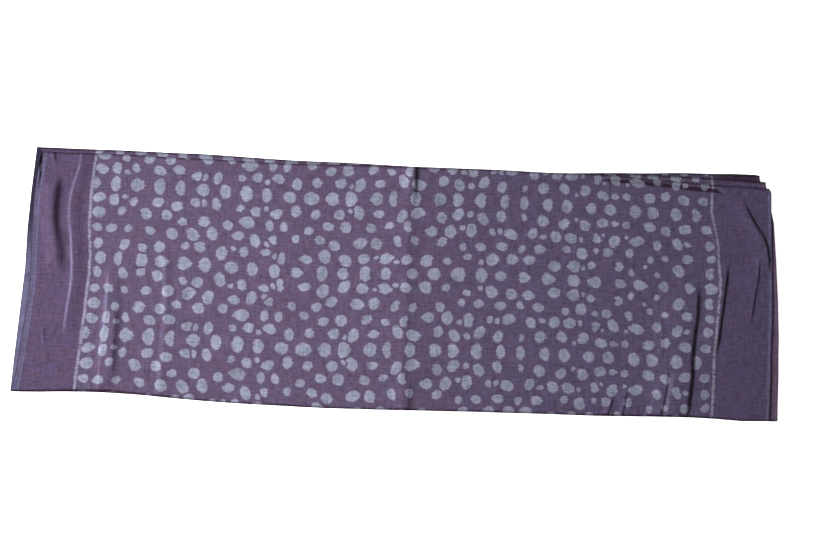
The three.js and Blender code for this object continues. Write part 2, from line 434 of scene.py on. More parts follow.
def height_at(layer, x, y):
    """The height, in mm, of the middle of a layer at a place."""
    level = LOWEST_LAYER + layer * LAYER_PITCH
    level += (level - CLOTH_THICKNESS / 2) * drift(x, y, SWELL)
    if layer == 0:
        return level
    if layer < TOP_LAYER:
        return level + drift(x, y, LAYER_WAVE, layer)
    resting = height_at(layer - 1, x, y) + CLOTH_THICKNESS + LEAST_AIR
    x += selvedge_shift(x, y, TOP_LAYER)
    level += drift(x, y, LAYER_WAVE, layer) + drift(x * TOP_RIPPLE_SQUEEZE, y, TOP_RIPPLE)
    level += abs(drift(x, y * TOP_WAVE_SQUEEZE, TOP_WAVE))
    level += sum(crease_lift(crease, x, y) for crease in CREASES)
    to_edge = ease(1 - (edge_at(LAYER_COUNT, x) - y) / LIFT_DEPTH)
    to_right = ease((x - LIFT_START) / (HALF_WIDTH - LIFT_START))
    from_tuck, tuck_share = to_edge_tuck(x, y)
    to_tuck = ease(1 - abs(from_tuck) / EDGE_TUCK_HALF) * tuck_share
    return max(level + LIFT_HEIGHT * to_edge * to_right - EDGE_TUCK_DEPTH * to_tuck, resting)


print("the top layer's middle is", round(height_at(TOP_LAYER, 0, 0), 2), "mm high")

# %% [markdown]
# ## One section of the cloth
#
# A section is a row of stations from the hidden end to the end on top: along each layer, and in a half
# circle round each turn. Every station keeps its place, its height, its creep along the weft, its level in
# layers and its painted shade: how dark it lies, from 0 to 1. A turn and a cut end get the darkest painted
# shade, as little light reaches them. The first and last run of each layer are short, so that this painted
# shade stays a thin line, except at the far right corner, where two hidden layers get painted shade.

# %% Draw a section
HIDDEN_RUNS = 6
TOP_RUNS = 88
TURN_STEPS = 6
# The shade of folds and cut ends is painted shade: the colour is mixed towards dark maroon by it
NEAR_SHADE = 2.6
FAR_SHADE = 4.0
SHADED_TURNS = (2, 4)
CORNER_SHADE = 0.7
CORNER_SHADE_START = 450
CORNER_SHADE_SPAN = 40


def shade_room(turn):
    """How far, in mm, the painted shade of a fold or a cut end reaches into the layer."""
    return FAR_SHADE if side_of(turn) > 0 else NEAR_SHADE


def shade_beside(turn, x):
    """How dark, 0 to 1, a layer's painted shade stays past a turn: the far right corner lies in shade."""
    if turn not in SHADED_TURNS:
        return 0.0
    return CORNER_SHADE * ease((x - CORNER_SHADE_START) / CORNER_SHADE_SPAN)


def layer_stations(layer, x, start, end):
    """(y, z, creep, level, shade) along one layer."""
    runs = TOP_RUNS if layer == TOP_LAYER else HIDDEN_RUNS
    span = abs(end - start)
    first = shade_room(layer) / span
    last = 1 - shade_room(layer + 1) / span
    shares = [0.0] + [first + (last - first) * run / runs for run in range(runs + 1)] + [1.0]
    shades = [1.0, shade_beside(layer, x)] + [0.0] * (runs - 1) + [shade_beside(layer + 1, x), 1.0]
    for share, shade in zip(shares, shades):
        y = start + (end - start) * share
        creep = TURN_SLIDES[layer] + (TURN_SLIDES[layer + 1] - TURN_SLIDES[layer]) * share
        yield y, height_at(layer, x, y), creep, layer, shade


def turn_stations(layer, x, start):
    """(y, z, creep, level, shade) round the turn that leads from a layer to the one above it."""
    low, high = height_at(layer, x, start), height_at(layer + 1, x, start)
    middle, radius = (low + high) / 2, (high - low) / 2
    for step in range(1, TURN_STEPS):
        share = step / TURN_STEPS
        angle = math.pi * (share - 0.5)
        y = start + side_of(layer + 1) * radius * math.cos(angle)
        yield y, middle + radius * math.sin(angle), TURN_SLIDES[layer + 1], layer + share, 1.0


def turn_start(turn, x):
    """Where a layer ends and its turn begins, so that the turn reaches just as far as the edge."""
    edge = edge_at(turn, x)
    if turn in (0, LAYER_COUNT):
        return edge
    radius = (height_at(turn, x, edge) - height_at(turn - 1, x, edge)) / 2
    return edge - side_of(turn) * radius


def section_at(x):
    """The stations of the whole cloth at one place across the width."""
    stations = []
    for layer in range(LAYER_COUNT):
        start, end = turn_start(layer, x), turn_start(layer + 1, x)
        stations += layer_stations(layer, x, start, end)
        if layer < TOP_LAYER:
            stations += turn_stations(layer, x, end)
    return stations


print(len(section_at(0)), "stations in a section")

# %% [markdown]
# ## Where the sections stand
#
# Sharp creases need sections about a millimetre apart, and flat cloth does not. So the columns stand close
# only where a sharp crease runs. The hidden layers carry no creases, and every eighth column is enough
# there.

# %% Space the columns
CLOSE_STEP = 1.3
OPEN_STEP = 4.6
CREASE_ROOM = 4
COARSE_EVERY = 8
NARROW_FLANK = 10
LEAST_SHARP_HEIGHT = 0.75
GUESSES = 3


def column_under(x, y):
    """The column of a place of the top layer, before the selvedge's line carried it, by a few guesses."""
    column = x
    for _ in range(GUESSES):
        column = x - selvedge_shift(column, y, TOP_LAYER)
    return column


def close_ranges():
    """The stretches of the width that a sharp crease crosses, in mm."""
    for _, _, height, left, right, crest in CREASES:
        if min(left, right) < NARROW_FLANK and height > LEAST_SHARP_HEIGHT:
            places = [column_under(x, y) for y, x in crest]
            yield min(places) - CREASE_ROOM, max(places) + CREASE_ROOM


def column_places():
    """The places across the width, in mm, where a section is taken."""
    close = list(close_ranges())
    places = [-HALF_WIDTH]
    while places[-1] < HALF_WIDTH:
        x = places[-1]
        is_close = any(low <= x <= high for low, high in close)
        places.append(x + (CLOSE_STEP if is_close else OPEN_STEP))
    return places[:-1] + [HALF_WIDTH]


columns = column_places()
coarse_columns = sorted(set(columns[::COARSE_EVERY]) | {columns[-1]})
print(len(columns), "columns, of which", len(coarse_columns), "run through the hidden layers")

# %% [markdown]
# ## Where the pattern lies
#
# The pattern was in the yarn before the cloth was folded, so each vertex gets its place in the flat cloth,
# as a UV pair in metres: U runs along the weft from the left selvedge, and V along the warp from the mirror
# line nearest to the middle of the top layer. An unwrap would lay the sheet flat too, but the real threads
# aren't straight: the buckles carry the border lines along, the weft is bowed, and the repeat grows a
# little tighter towards the right. So the places are worked out along each section.

# %% Say where the pattern lies on the cloth
# How far the border lines are carried is given as (y, mm) points, and the bow of the weft as (x, mm) points.
# The middle mirror line lies a little to the far side of the middle.
BORDER_LINE = 470
LINE_PULL = 90
LEFT_LINE = [
    (-177, -0.2), (-141, 1), (-111, 3.4), (-90, 4), (-33, 6.4), (-9, 7.6), (24, 7), (51, 3.4), (77, 1.6),
    (105, 1), (132, 1), (165, 3.1), (180, 4.6),
]
RIGHT_LINE = [
    (-179, -7), (-162, -5.7), (-128, -4), (-90, -3), (-48, 0), (-18, 2.6), (5, 5), (28, 4.5), (62, 2.6),
    (85, -0.4), (100, -3), (119, -7), (138, -7.2), (165, -6),
]
WEFT_BOW = [
    (-560, 8), (-420, 7), (-280, 1.5), (-140, -4.5), (0, 0), (140, 2.5), (280, -1), (420, -5), (560, -6),
]
MIDDLE_MIRROR = 10.5
TIGHTER = 0.03
TIGHTER_FROM = 50
TIGHTER_SPAN = 350


def line_pull(x, y):
    """How far, in mm, the buckled cloth has carried the border lines along the weft."""
    left = along(LEFT_LINE, y) * ease(1 - abs(x + BORDER_LINE) / LINE_PULL)
    right = along(RIGHT_LINE, y) * ease(1 - abs(x - BORDER_LINE) / LINE_PULL)
    return left + right


def flat_places(x, stations):
    """The (U, V) of each station in metres, and the length of the section in mm."""
    passed = [0.0]
    for (y0, z0, *_), (y1, z1, *_) in zip(stations, stations[1:]):
        passed.append(passed[-1] + math.hypot(y1 - y0, z1 - z0))
    top = [index for index, station in enumerate(stations) if station[3] == TOP_LAYER]
    middle = min(top, key=lambda index: abs(stations[index][0]))
    zero = passed[middle] - stations[middle][0] + along(WEFT_BOW, x) + MIDDLE_MIRROR
    tightness = 1 + TIGHTER * ease((x - TIGHTER_FROM) / TIGHTER_SPAN)
    places = [
        ((x + HALF_WIDTH - line_pull(x, station[0])) * MM, (length - zero) * tightness * MM)
        for length, station in zip(passed, stations)
    ]
    return places, passed[-1]


print("the left border line is carried", round(line_pull(-BORDER_LINE, 0), 1), "mm at the middle")

# %% [markdown]
# ## Where a crest shines
#
# On the real cloth a few soft crests catch the window light along their lit side. A glossier finish would
# make the whole cloth shine at a low angle, so the shine is a painted highlight: its strength is kept with
# each vertex, beside the crests where the photograph shows it, and it is mixed into the colour later.

# %% Find where a crest catches the light
# Each row holds a crease's name, how strongly it shines, and where it does, as (y, share) points. The shine
# lies a little to the left of the crest, towards the lamp.
GLINTS = [
    ("border roll", 0.5, [(-105, 0.2), (-75, 0.6), (-45, 1), (35, 1), (75, 0.55), (125, 0.45), (185, 0.3)]),
    ("field roll", 0.3, [(-185, 0.15), (-130, 0.4), (-100, 1), (-30, 1), (5, 0)]),
    ("field wave", 0.2, [(-185, 1), (-110, 0.5), (-60, 0.7), (-20, 1), (40, 0.3)]),
    ("side fold", 0.24, [(-175, 0.8), (-130, 1), (-112, 0)]),
]
GLINT_PLACE = 1.6
GLINT_HALF = 4.4


def glint_at(x, y):
    """How strongly, from 0 to 1, the lit side of a few crests shines at a place of the top layer."""
    x += selvedge_shift(x, y, TOP_LAYER)
    brightest = 0.0
    for name, strength, shares in GLINTS:
        crest = next(points for crease_name, *_, points in CREASES if crease_name == name)
        from_line = abs(x - along(crest, y) + GLINT_PLACE)
        to_end = min(y - crest[0][0], crest[-1][0] - y)
        if from_line < GLINT_HALF and to_end > 0:
            share = ease(1 - from_line / GLINT_HALF) * ease(to_end / CREASE_FADE) * along(shares, y)
            brightest = max(brightest, strength * share)
    return brightest


print("the border roll shines", round(glint_at(-488.5, 0), 2), "at its middle")

# %% [markdown]
# ## Joining the sections
#
# Bridging hundreds of sections by hand would be slow, so the faces are listed in code. Neighbouring
# sections are joined by four-sided faces. Where the close columns of the top layer meet the wide columns of
# the hidden layers, one many-sided face bridges each wide gap, out of sight below the top layer.

# %% Lay down the vertices of every section
TUCK_LINE_HALF = 4.8
FAR_OFF = 99.0


def place_on_stack(x, y, z, creep, level):
    """A station's place in the frame, in metres, once the selvedge and the corner have carried it."""
    across = x + creep + selvedge_shift(x, y, level) + tucked_in(x, y, level) + CENTRE_SHIFT[0]
    return across * MM, (y + CENTRE_SHIFT[1]) * MM, z * MM


def beside_tuck(x, y, level):
    """How far, in mm, a station lies from the edge tuck's painted shade line, which narrows at its ends."""
    if level != TOP_LAYER:
        return FAR_OFF
    from_tuck, tuck_share = to_edge_tuck(x, y)
    return abs(from_tuck) + TUCK_LINE_HALF * (1 - tuck_share)


# Every column runs through the top layer from where the last turn begins, and only the coarse columns
# through the rest
vertices, places_in_cloth, lengths = [], [], []
shades, tuck_places, glints = [], [], []
vertex_at = {}
for column, x in enumerate(columns):
    stations = section_at(x)
    last_turn = next(index for index, station in enumerate(stations) if station[3] > TOP_LAYER - 1) - 1
    flat, length = flat_places(x, stations)
    lengths.append(length)
    for index, (y, z, creep, level, shade) in enumerate(stations):
        if index < last_turn and x not in coarse_columns:
            continue
        vertex_at[column, index] = len(vertices)
        vertices.append(place_on_stack(x, y, z, creep, level))
        places_in_cloth.append(flat[index])
        shades.append(shade)
        tuck_places.append(beside_tuck(x, y, level))
        glints.append(glint_at(x, y) if level == TOP_LAYER else 0.0)
last_station = len(stations) - 1
cloth_length = sum(lengths) / len(lengths) * MM
print(len(vertices), "vertices; the cloth is", round(cloth_length, 3), "m long")

# %% Join the sections into a sheet
faces = []


def join(left, right, index):
    """Adds the face between two columns, from one station to the next."""
    corners = ((left, index), (right, index), (right, index + 1), (left, index + 1))
    faces.append([vertex_at[corner] for corner in corners])


coarse = [columns.index(x) for x in coarse_columns]
for left, right in zip(coarse, coarse[1:]):
    for index in range(last_turn - 1):
        join(left, right, index)
    bridge = [vertex_at[left, last_turn - 1], vertex_at[right, last_turn - 1]]
    bridge += [vertex_at[column, last_turn] for column in range(right, left - 1, -1)]
    faces.append(bridge)
for column in range(len(columns) - 1):
    for index in range(last_turn, last_station):
        join(column, column + 1, index)

mesh = bpy.data.meshes.new("folded_ikat_cotton")
mesh.from_pydata(vertices, [], faces)
flat_map = mesh.uv_layers.new(name="flat_cloth")
for loop in mesh.loops:
    flat_map.data[loop.index].uv = places_in_cloth[loop.vertex_index]
for name, values in (("shade", shades), ("from_tuck", tuck_places), ("glint", glints)):
    kept = mesh.attributes.new(name, "FLOAT", "POINT")
    kept.data.foreach_set("value", values)
cloth = bpy.data.objects.new("folded_ikat_cotton", mesh)
scene.collection.objects.link(cloth)
print(len(faces), "faces join", len(columns), "sections")

# %% [markdown]
# ## Giving the sheet its thickness
#
# Real fabric of this kind is under half a millimetre thick. Extruding each face by hand would leave gaps at
# the turns, so the Solidify modifier offsets both sides of the sheet by half the thickness and closes the
# rim, and it is applied. Shading is smooth over the cloth and sharp at the cut edges.

# %% Thicken and smooth the sheet
SHARPEST_SMOOTH_ANGLE = 70

bpy.ops.object.select_all(action="DESELECT")
bpy.context.view_layer.objects.active = cloth
cloth.select_set(True)
thickness = cloth.modifiers.new("thickness", "SOLIDIFY")
thickness.thickness = CLOTH_THICKNESS * MM
thickness.offset = 0
bpy.ops.object.modifier_apply(modifier=thickness.name)
bpy.ops.object.shade_smooth_by_angle(angle=math.radians(SHARPEST_SMOOTH_ANGLE))
triangles = sum(len(face.vertices) - 2 for face in cloth.data.polygons)
print(triangles, "triangles in the finished sheet")

# %% [markdown]
# ## Nodes as arithmetic
#
# The finish is drawn by shader nodes. Placing several hundred Math nodes by hand hides the idea behind
# them, so a small class stands for the wire between two nodes, and adding or multiplying two wires adds the
# Math node that does it. The formulas then read as formulas. All lengths in them are in millimetres.

# %% Make wires that can be added and multiplied
def feed(slot, value):
    """Joins a wire to a slot, or sets the slot to a number or a colour."""
    if isinstance(value, Wire):
        slot.id_data.links.new(value.socket, slot)
    else:
        slot.default_value = value


class Wire:
    """A value on its way through the shader. Arithmetic on it adds Math nodes."""

    def __init__(self, socket):
        self.socket = socket

    def math(self, operation, *others):
        """What one Math node makes of this wire and others."""
        node = self.socket.id_data.nodes.new("ShaderNodeMath")
        node.operation = operation
        for slot, value in zip(node.inputs, (self, *others)):
            feed(slot, value)
        return Wire(node.outputs[0])

    def __add__(self, other):
        return self.math("ADD", other)

    def __sub__(self, other):
        return self.math("SUBTRACT", other)

    def __mul__(self, other):
        return self.math("MULTIPLY", other)

    def __truediv__(self, other):
        return self.math("DIVIDE", other)

    def __pow__(self, other):
        return self.math("POWER", other)

    def __abs__(self):
        return self.math("ABSOLUTE")


cotton = bpy.data.materials.new("dyed_cotton")
cotton.use_nodes = True
nodes = cotton.node_tree.nodes
shader = nodes["Principled BSDF"]


def add_node(kind, settings, inputs):
    """A node of one kind, with its settings and its input slots filled."""
    node = nodes.new(kind)
    for name, value in settings.items():
        setattr(node, name, value)
    for slot, value in inputs.items():
        feed(node.inputs[slot], value)
    return node


def point(x, y, z=0.0):
    """A place made from three values."""
    return Wire(add_node("ShaderNodeCombineXYZ", {}, {0: x, 1: y, 2: z}).outputs[0])


def cloudy(place, detail=1.0):
    """Smooth noise about 0, mostly between -0.25 and 0.25, with features one unit across."""
    settings = {"noise_dimensions": "3D"}
    node = add_node("ShaderNodeTexNoise", settings, {"Vector": place, "Scale": 1.0, "Detail": detail})
    return Wire(node.outputs[0]) - 0.5


def between(value, low, high):
    """0 below low, 1 above high, and a smooth step between. Low may be the greater."""
    settings = {"interpolation_type": "SMOOTHSTEP"}
    node = add_node("ShaderNodeMapRange", settings, {"Value": value, "From Min": low, "From Max": high})
    return Wire(node.outputs[0])


def mixed(share, first, second, blend="MIX"):
    """Two colours mixed by a share."""
    settings = {"data_type": "RGBA", "blend_type": blend}
    node = add_node("ShaderNodeMix", settings, {0: share, 6: first, 7: second})
    return Wire(node.outputs[2])


def attribute(name):
    """A number that the mesh keeps with each vertex."""
    return Wire(add_node("ShaderNodeAttribute", {"attribute_name": name}, {}).outputs["Fac"])


def parts(place):
    """The three values of a place or of a colour."""
    return [Wire(part) for part in add_node("ShaderNodeSeparateXYZ", {}, {0: place}).outputs]


print("the shader is", shader.name)

# %% [markdown]
# ## Where the dyed yarn lies
#
# The pattern is read on the flat cloth, so it follows the cloth through its folds. Weft ikat shows in two
# ways. Each weft thread has slipped a little along its length, which feathers every edge sideways, and the
# yarn was tied as a bundle folded back and forth, so the pattern is mirrored again and again along the
# cloth. Reading the place through a ping-pong node repeats the mirroring. Weft is the place along the weft
# from the left selvedge, and warp the place along the warp.

# %% Read the place in the cloth
MM_PER_METRE = 1000
MIRROR_SPAN = 113.0

# Noise over the cloth is given as (features per mm along the weft, and along the warp, its lot)
THREAD_GRAIN = (0.04, 0.42, 0.0)
BUNDLE_GRAIN = (0.004, 0.10, 5.0)
THREAD_SLIP = 6.0
BUNDLE_SLIP = 2.5
LINE_THREAD_SLIP = 0.4


def over_cloth(grain, along_weft, along_warp):
    """Where noise of a grain is read for a place in the cloth."""
    return point(along_weft * grain[0], along_warp * grain[1], grain[2])


flat_x, flat_y, _ = parts(Wire(add_node("ShaderNodeUVMap", {"uv_map": "flat_cloth"}, {}).outputs[0]))
_, frame_y, _ = parts(Wire(add_node("ShaderNodeTexCoord", {}, {}).outputs["Object"]))
weft = flat_x * MM_PER_METRE
warp = flat_y * MM_PER_METRE
depth = frame_y * MM_PER_METRE
thread_slip = cloudy(over_cloth(THREAD_GRAIN, weft, warp), detail=2.0) * THREAD_SLIP
bundle_slip = cloudy(over_cloth(BUNDLE_GRAIN, weft, warp)) * BUNDLE_SLIP
dyed_weft = weft + thread_slip + bundle_slip
mirrored = (warp - MIRROR_SPAN).math("PINGPONG", MIRROR_SPAN)
to_line = abs(weft + bundle_slip + thread_slip * LINE_THREAD_SLIP - HALF_WIDTH) * -1 + BORDER_LINE
to_selvedge = abs(weft - HALF_WIDTH) * -1 + HALF_WIDTH
right_half = (weft - HALF_WIDTH).math("SIGN")
on_left = right_half * -0.5 + 0.5


def by_half(left, right):
    """A value that is one number on the left half of the cloth and another on the right half."""
    return on_left * (left - right) + right


print("the pattern is mirrored every", MIRROR_SPAN, "mm along the cloth")

# %% [markdown]
# ## Pebbles
#
# The pebbles are of many sizes, lie evenly but in no straight rows, and few are clean circles: most are
# tilted a little, some are drawn out to a point along the weft, some notched. A Voronoi texture would
# scatter them too, but it cuts neighbours off along straight edges. Here each lattice of cells holds one
# pebble to a cell, with its size, place, tilt and outline drawn from white noise on the cell's number.
# Small pebbles may stray further from the middle of their cell than large ones, so that few touch. The
# result is the distance to the pebble's edge, so that its rim can be soft and can have its own colour.

# %% Draw lots for the cells of a lattice
def lots(column, row, seed):
    """Three random numbers for a cell."""
    settings = {"noise_dimensions": "3D"}
    thrown = add_node("ShaderNodeTexWhiteNoise", settings, {"Vector": point(column, row, seed)})
    return parts(Wire(thrown.outputs["Color"]))


def outside(value, low, high):
    """0 where a value lies from low to high, and 1 elsewhere."""
    return value.math("LESS_THAN", low) + value.math("GREATER_THAN", high)


print("white noise throws lots for each cell and seed")

# %% Scatter pebbles on a lattice
# The outline of a pebble has lumps of a size and a height in mm, and one point or notch, whose length is a
# share of the pebble's size
LUMP_SIZE = 7.0
LUMP_HEIGHT = 3.2
LUMP_LOTS = 60
POINT_LENGTH = 0.55
POINT_SHARPNESS = 7
SIZE_CURVE = 0.7
SLANT = 0.5
STRETCH = 0.3
LEAST_SIZE = 3.7
STRAY = 1.6
STRAY_LOST_PER_MM = 0.11
SECOND_LOT = 0.5
NEXT_TO_NOTHING = 0.01


def pebbles(across, up, start, cell, radius, allowed, tall=1.0, wander=(0.0, 0.0), seed=0.0):
    """The distance in mm to the edge of the pebble of a place's own cell, below 0 inside it."""
    column = ((across - start[0]) / cell[0]).math("FLOOR")
    row = ((up - start[1]) / cell[1]).math("FLOOR")
    lot_size, lot_x, lot_y = lots(column, row, seed)
    lot_tilt, lot_lump, lot_point = lots(column, row, seed + SECOND_LOT)
    size = lot_size**SIZE_CURVE * (radius[1] - radius[0]) + radius[0]
    freedom = size * -STRAY_LOST_PER_MM + STRAY
    middle_x = column * cell[0] + (start[0] + cell[0] / 2)
    middle_y = row * cell[1] + (start[1] + cell[1] / 2)
    dx = across - middle_x - (lot_x * 2 - 1) * freedom * wander[0]
    dy = up - middle_y - (lot_y * 2 - 1) * freedom * wander[1]
    dx = dx + dy * (lot_tilt - 0.5) * SLANT
    stretch = (lot_lump - 0.5) * STRETCH + 1
    wide = dx * stretch
    high = dy / (stretch * tall)
    reach = (wide * wide + high * high).math("SQRT")
    towards = (lot_x - 0.5).math("SIGN") * wide / (reach + NEXT_TO_NOTHING) * -1
    sway = lot_point * 2 - 1
    spike = towards.math("MAXIMUM", 0.0) ** POINT_SHARPNESS * (sway * sway * sway * POINT_LENGTH) * size
    lump = cloudy(point(dx / LUMP_SIZE, dy / LUMP_SIZE, lot_lump * LUMP_LOTS), detail=1.5) * LUMP_HEIGHT
    low_x, high_x, low_y, high_y = allowed
    missing = outside(middle_x, low_x, high_x) + outside(middle_y, low_y, high_y)
    missing = missing + size.math("LESS_THAN", LEAST_SIZE)
    return reach - size - spike + lump + missing * FAR_OFF


print("a lattice cell draws 6 random numbers")

# %% [markdown]
# ## The field
#
# The field is built as the dyer tied it: a row of upright ovals on each mirror line, loose pebbles between
# those rows with small ones in their gaps, and one column of pebbles beside each border line. Where two
# pebbles meet, a thread of ground keeps them apart. The pebbles grow a little smaller towards the right.

# %% Scatter the loose pebbles
LEFT_LINE_AT = HALF_WIDTH - BORDER_LINE
RIGHT_LINE_AT = HALF_WIDTH + BORDER_LINE
COLUMN_WIDTH = 24.0
FIELD_START = LEFT_LINE_AT + COLUMN_WIDTH
FIELD_END = RIGHT_LINE_AT - COLUMN_WIDTH
FIELD_MARGIN = 9
LOOSE_COLUMNS = 29
LOOSE_CELL = (FIELD_END - FIELD_START) / LOOSE_COLUMNS
LOOSE_FROM = FIELD_START - 3
LOOSE_BETWEEN = LOOSE_FROM - LOOSE_CELL / 2
LOOSE_SIZES = (5.0, 9.5)
LOOSE_WANDER = (7.5, 6.0)
LOOSE_HEIGHTS = (9, 99)
ROW_PAIR = 44.0
ODD_ROWS_FROM = 2.0
EVEN_ROWS_FROM = ODD_ROWS_FROM + ROW_PAIR / 2
GROUND_THREAD = 3.0

# Many small sizes are drawn below LEAST_SIZE, and those cells stay empty
SMALL_SIZES = (-5.5, 5.4)
SMALL_WANDER = (4.0, 5.0)


def beside(first, second):
    """Two sets of pebbles together, with a thread of ground where they meet."""
    apart = abs(first - second) * -1 + GROUND_THREAD
    return first.math("MINIMUM", second).math("MAXIMUM", apart)


def loose_rows(start_x, start_y, sizes, wander, seed):
    """Every second row of loose pebbles, between the columns beside the border lines."""
    allowed = (FIELD_START + FIELD_MARGIN, FIELD_END - FIELD_MARGIN, *LOOSE_HEIGHTS)
    start, cell = (start_x, start_y), (LOOSE_CELL, ROW_PAIR)
    return pebbles(dyed_weft, mirrored, start, cell, sizes, allowed, wander=wander, seed=seed)


odd_rows = loose_rows(LOOSE_FROM, ODD_ROWS_FROM, LOOSE_SIZES, LOOSE_WANDER, seed=3.0)
even_rows = loose_rows(LOOSE_BETWEEN, EVEN_ROWS_FROM, LOOSE_SIZES, LOOSE_WANDER, seed=11.0)
odd_gaps = loose_rows(LOOSE_BETWEEN, ODD_ROWS_FROM, SMALL_SIZES, SMALL_WANDER, seed=53.0)
even_gaps = loose_rows(LOOSE_FROM, EVEN_ROWS_FROM, SMALL_SIZES, SMALL_WANDER, seed=61.0)
loose = beside(beside(odd_rows, even_rows), odd_gaps.math("MINIMUM", even_gaps))
print("the loose pebbles have cells", round(LOOSE_CELL, 1), "mm wide")

# %% Set the rows of ovals and the columns beside the lines
OVAL_ROW = 60.0
OVAL_ROOM = (LEFT_LINE_AT - 2, RIGHT_LINE_AT + 2)
OVAL_WANDER = (6.0, 0.0)
SMALLER_AT_RIGHT = 0.7
SMALLER_SPAN = BORDER_LINE * 0.6

outer_ovals = pebbles(
    dyed_weft, mirrored, start=(LEFT_LINE_AT - 9, -OVAL_ROW / 2), cell=(32.4, OVAL_ROW), radius=(7.0, 9.6),
    allowed=(*OVAL_ROOM, -1, 1), tall=1.22, wander=OVAL_WANDER, seed=23.0,
)
inner_ovals = pebbles(
    dyed_weft, mirrored, start=(LEFT_LINE_AT - 4, MIRROR_SPAN - OVAL_ROW / 2), cell=(34.0, OVAL_ROW),
    radius=(7.2, 9.9), allowed=(*OVAL_ROOM, MIRROR_SPAN - 1, MIRROR_SPAN + 1), tall=1.1,
    wander=OVAL_WANDER, seed=31.0,
)
# The left and the right column draw different lots
line_column = pebbles(
    to_line, mirrored, start=(0.0, 11.3), cell=(25.0, 22.6), radius=(6.0, 9.4), allowed=(0, 25, 20, 102),
    wander=(3.0, 2.5), seed=right_half * 3 + 43.0,
)
ovals = outer_ovals.math("MINIMUM", inner_ovals)
field = beside(beside(loose, ovals), line_column).math("MAXIMUM", to_line * -1)
pebble_edge = field + between(weft, HALF_WIDTH, HALF_WIDTH + SMALLER_SPAN) * SMALLER_AT_RIGHT
print("the rows of ovals run over", OVAL_ROOM[1] - OVAL_ROOM[0], "mm of the width")

# %% [markdown]
# ## Border lines and selvedges
#
# A pale line a few threads wide closes the field on both sides, drawn with the same slipping weft, so it
# looks broken up. The selvedge carries a pale stripe and some finer ones, woven with lighter warp threads,
# so these stay straight, and its outermost millimetre and a half is darker, more on the left. The left
# selvedge is bluer than the right one, by a painted sheen where the light falls from the left. Where the
# selvedges of the lower layers show beside the top layer, painted shade makes them nearly black at the far
# left and red at the right; they are blue at the near left. All of them are found by how far a place lies
# from the selvedge, which follows the cloth where an image would have to be laid on by hand.

# %% Draw the lines and stripes
# Each fade is (where a part begins to show, where it shows in full): in mm from a pebble's edge, from the
# border line into the field, from the line's or the stripe's own edge, or from the selvedge. The fine lines
# of the rim are a sine wave and fade by its value. Each pair that by_half reads is (left, right).
PEBBLE_FADE = (1.0, -1.0)
CORE_FADE = (-1.0, -6.0)
HALO_FADE = (5.0, 0.0)
BORDER_FADE = (0.0, -6.0)
LINE_FADE = (0.9, -0.6)
LINE_HALF = (2.0, 1.8)
STRIPE_FADE = (0.8, -0.6)
STRIPE_AT = (8.0, 3.5)
STRIPE_HALF = 1.1
RIM_FADE = (8.0, 5.5)
RIM_LINE_TURN = 2.4
RIM_LINE_FADE = (0.0, 0.9)
DARK_EDGE_FADE = (1.6, 0.4)
DARK_EDGE_SHARE = (0.8, 0.3)

pebble = between(pebble_edge, *PEBBLE_FADE)
core = between(pebble_edge, *CORE_FADE)
halo = between(pebble_edge, *HALO_FADE)
in_border = between(to_line, *BORDER_FADE)
border_line = between(abs(to_line) - by_half(*LINE_HALF), *LINE_FADE)
stripe = between(abs(to_selvedge - by_half(*STRIPE_AT)) - STRIPE_HALF, *STRIPE_FADE)
rim = between(to_selvedge, *RIM_FADE)
rim_lines = between((to_selvedge * RIM_LINE_TURN).math("SINE"), *RIM_LINE_FADE) * rim
# The outermost edge of each selvedge is darkened, more on the left
dark_edge = between(to_selvedge, *DARK_EDGE_FADE) * by_half(*DARK_EDGE_SHARE)
print("the selvedge stripes lie", STRIPE_AT, "mm in")

# %% Find the places of painted shade and highlight
# The lower layers come before the top layer along the cloth; shade is painted on their selvedges at the
# far left and at the right. The edge tuck gets a painted dark line of shade, and the vertices keep how far
# they lie from it.
TOP_LAYER_FROM = -1.75 * MIRROR_SPAN
LOWER_SELVEDGE_FADE = (11.0, 5.0)
FAR_HALF_FADE = (-30, 90)
TUCK_FADE = (TUCK_LINE_HALF, 1.6)

lower_selvedge = between(to_selvedge, *LOWER_SELVEDGE_FADE) * warp.math("LESS_THAN", TOP_LAYER_FROM)
far_half = between(depth, *FAR_HALF_FADE)
tuck = between(attribute("from_tuck"), *TUCK_FADE)
fold_shade = attribute("shade")
glint = attribute("glint")
print("the lower layers lie beyond", TOP_LAYER_FROM, "mm along the cloth")

# %% [markdown]
# ## The dye, with painted light and shade
#
# The ground is a purple that drifts between maroon and blue-violet, in small clouds and in fine streaks
# where single threads took more or less dye. The plain borders are more violet, and the whole cloth is a
# little bluer on the right. The pebbles are grey-blue rather than white, because the dark warp covers half
# of the pale weft. They are bluest in the middle and pinker at the rim, where dye crept under the tie. Flat
# colours would lose all of this, so each is mixed from noise. The lines and the selvedges are then mixed
# over them one by one, then painted shade at the lower selvedges, a painted highlight on the lit side of
# a few crests and painted shade along the edge tuck, and last painted shade, a dark maroon, at the folds
# and cut ends.

# %% Mix the dyes and the colours of painted light and shade
MAROON = (0.078, 0.049, 0.081, 1)
VIOLET = (0.065, 0.051, 0.089, 1)
HALO_BLUE = (0.064, 0.055, 0.092, 1)
BORDER_VIOLET = (0.069, 0.046, 0.092, 1)
RIGHT_BLUE = (0.061, 0.054, 0.096, 1)
PALE_CORE = (0.152, 0.167, 0.211, 1)
PALE_RIM = (0.173, 0.162, 0.213, 1)
LINE_LILAC = (0.172, 0.158, 0.208, 1)
SELVEDGE_BLUE = (0.105, 0.100, 0.165, 1)
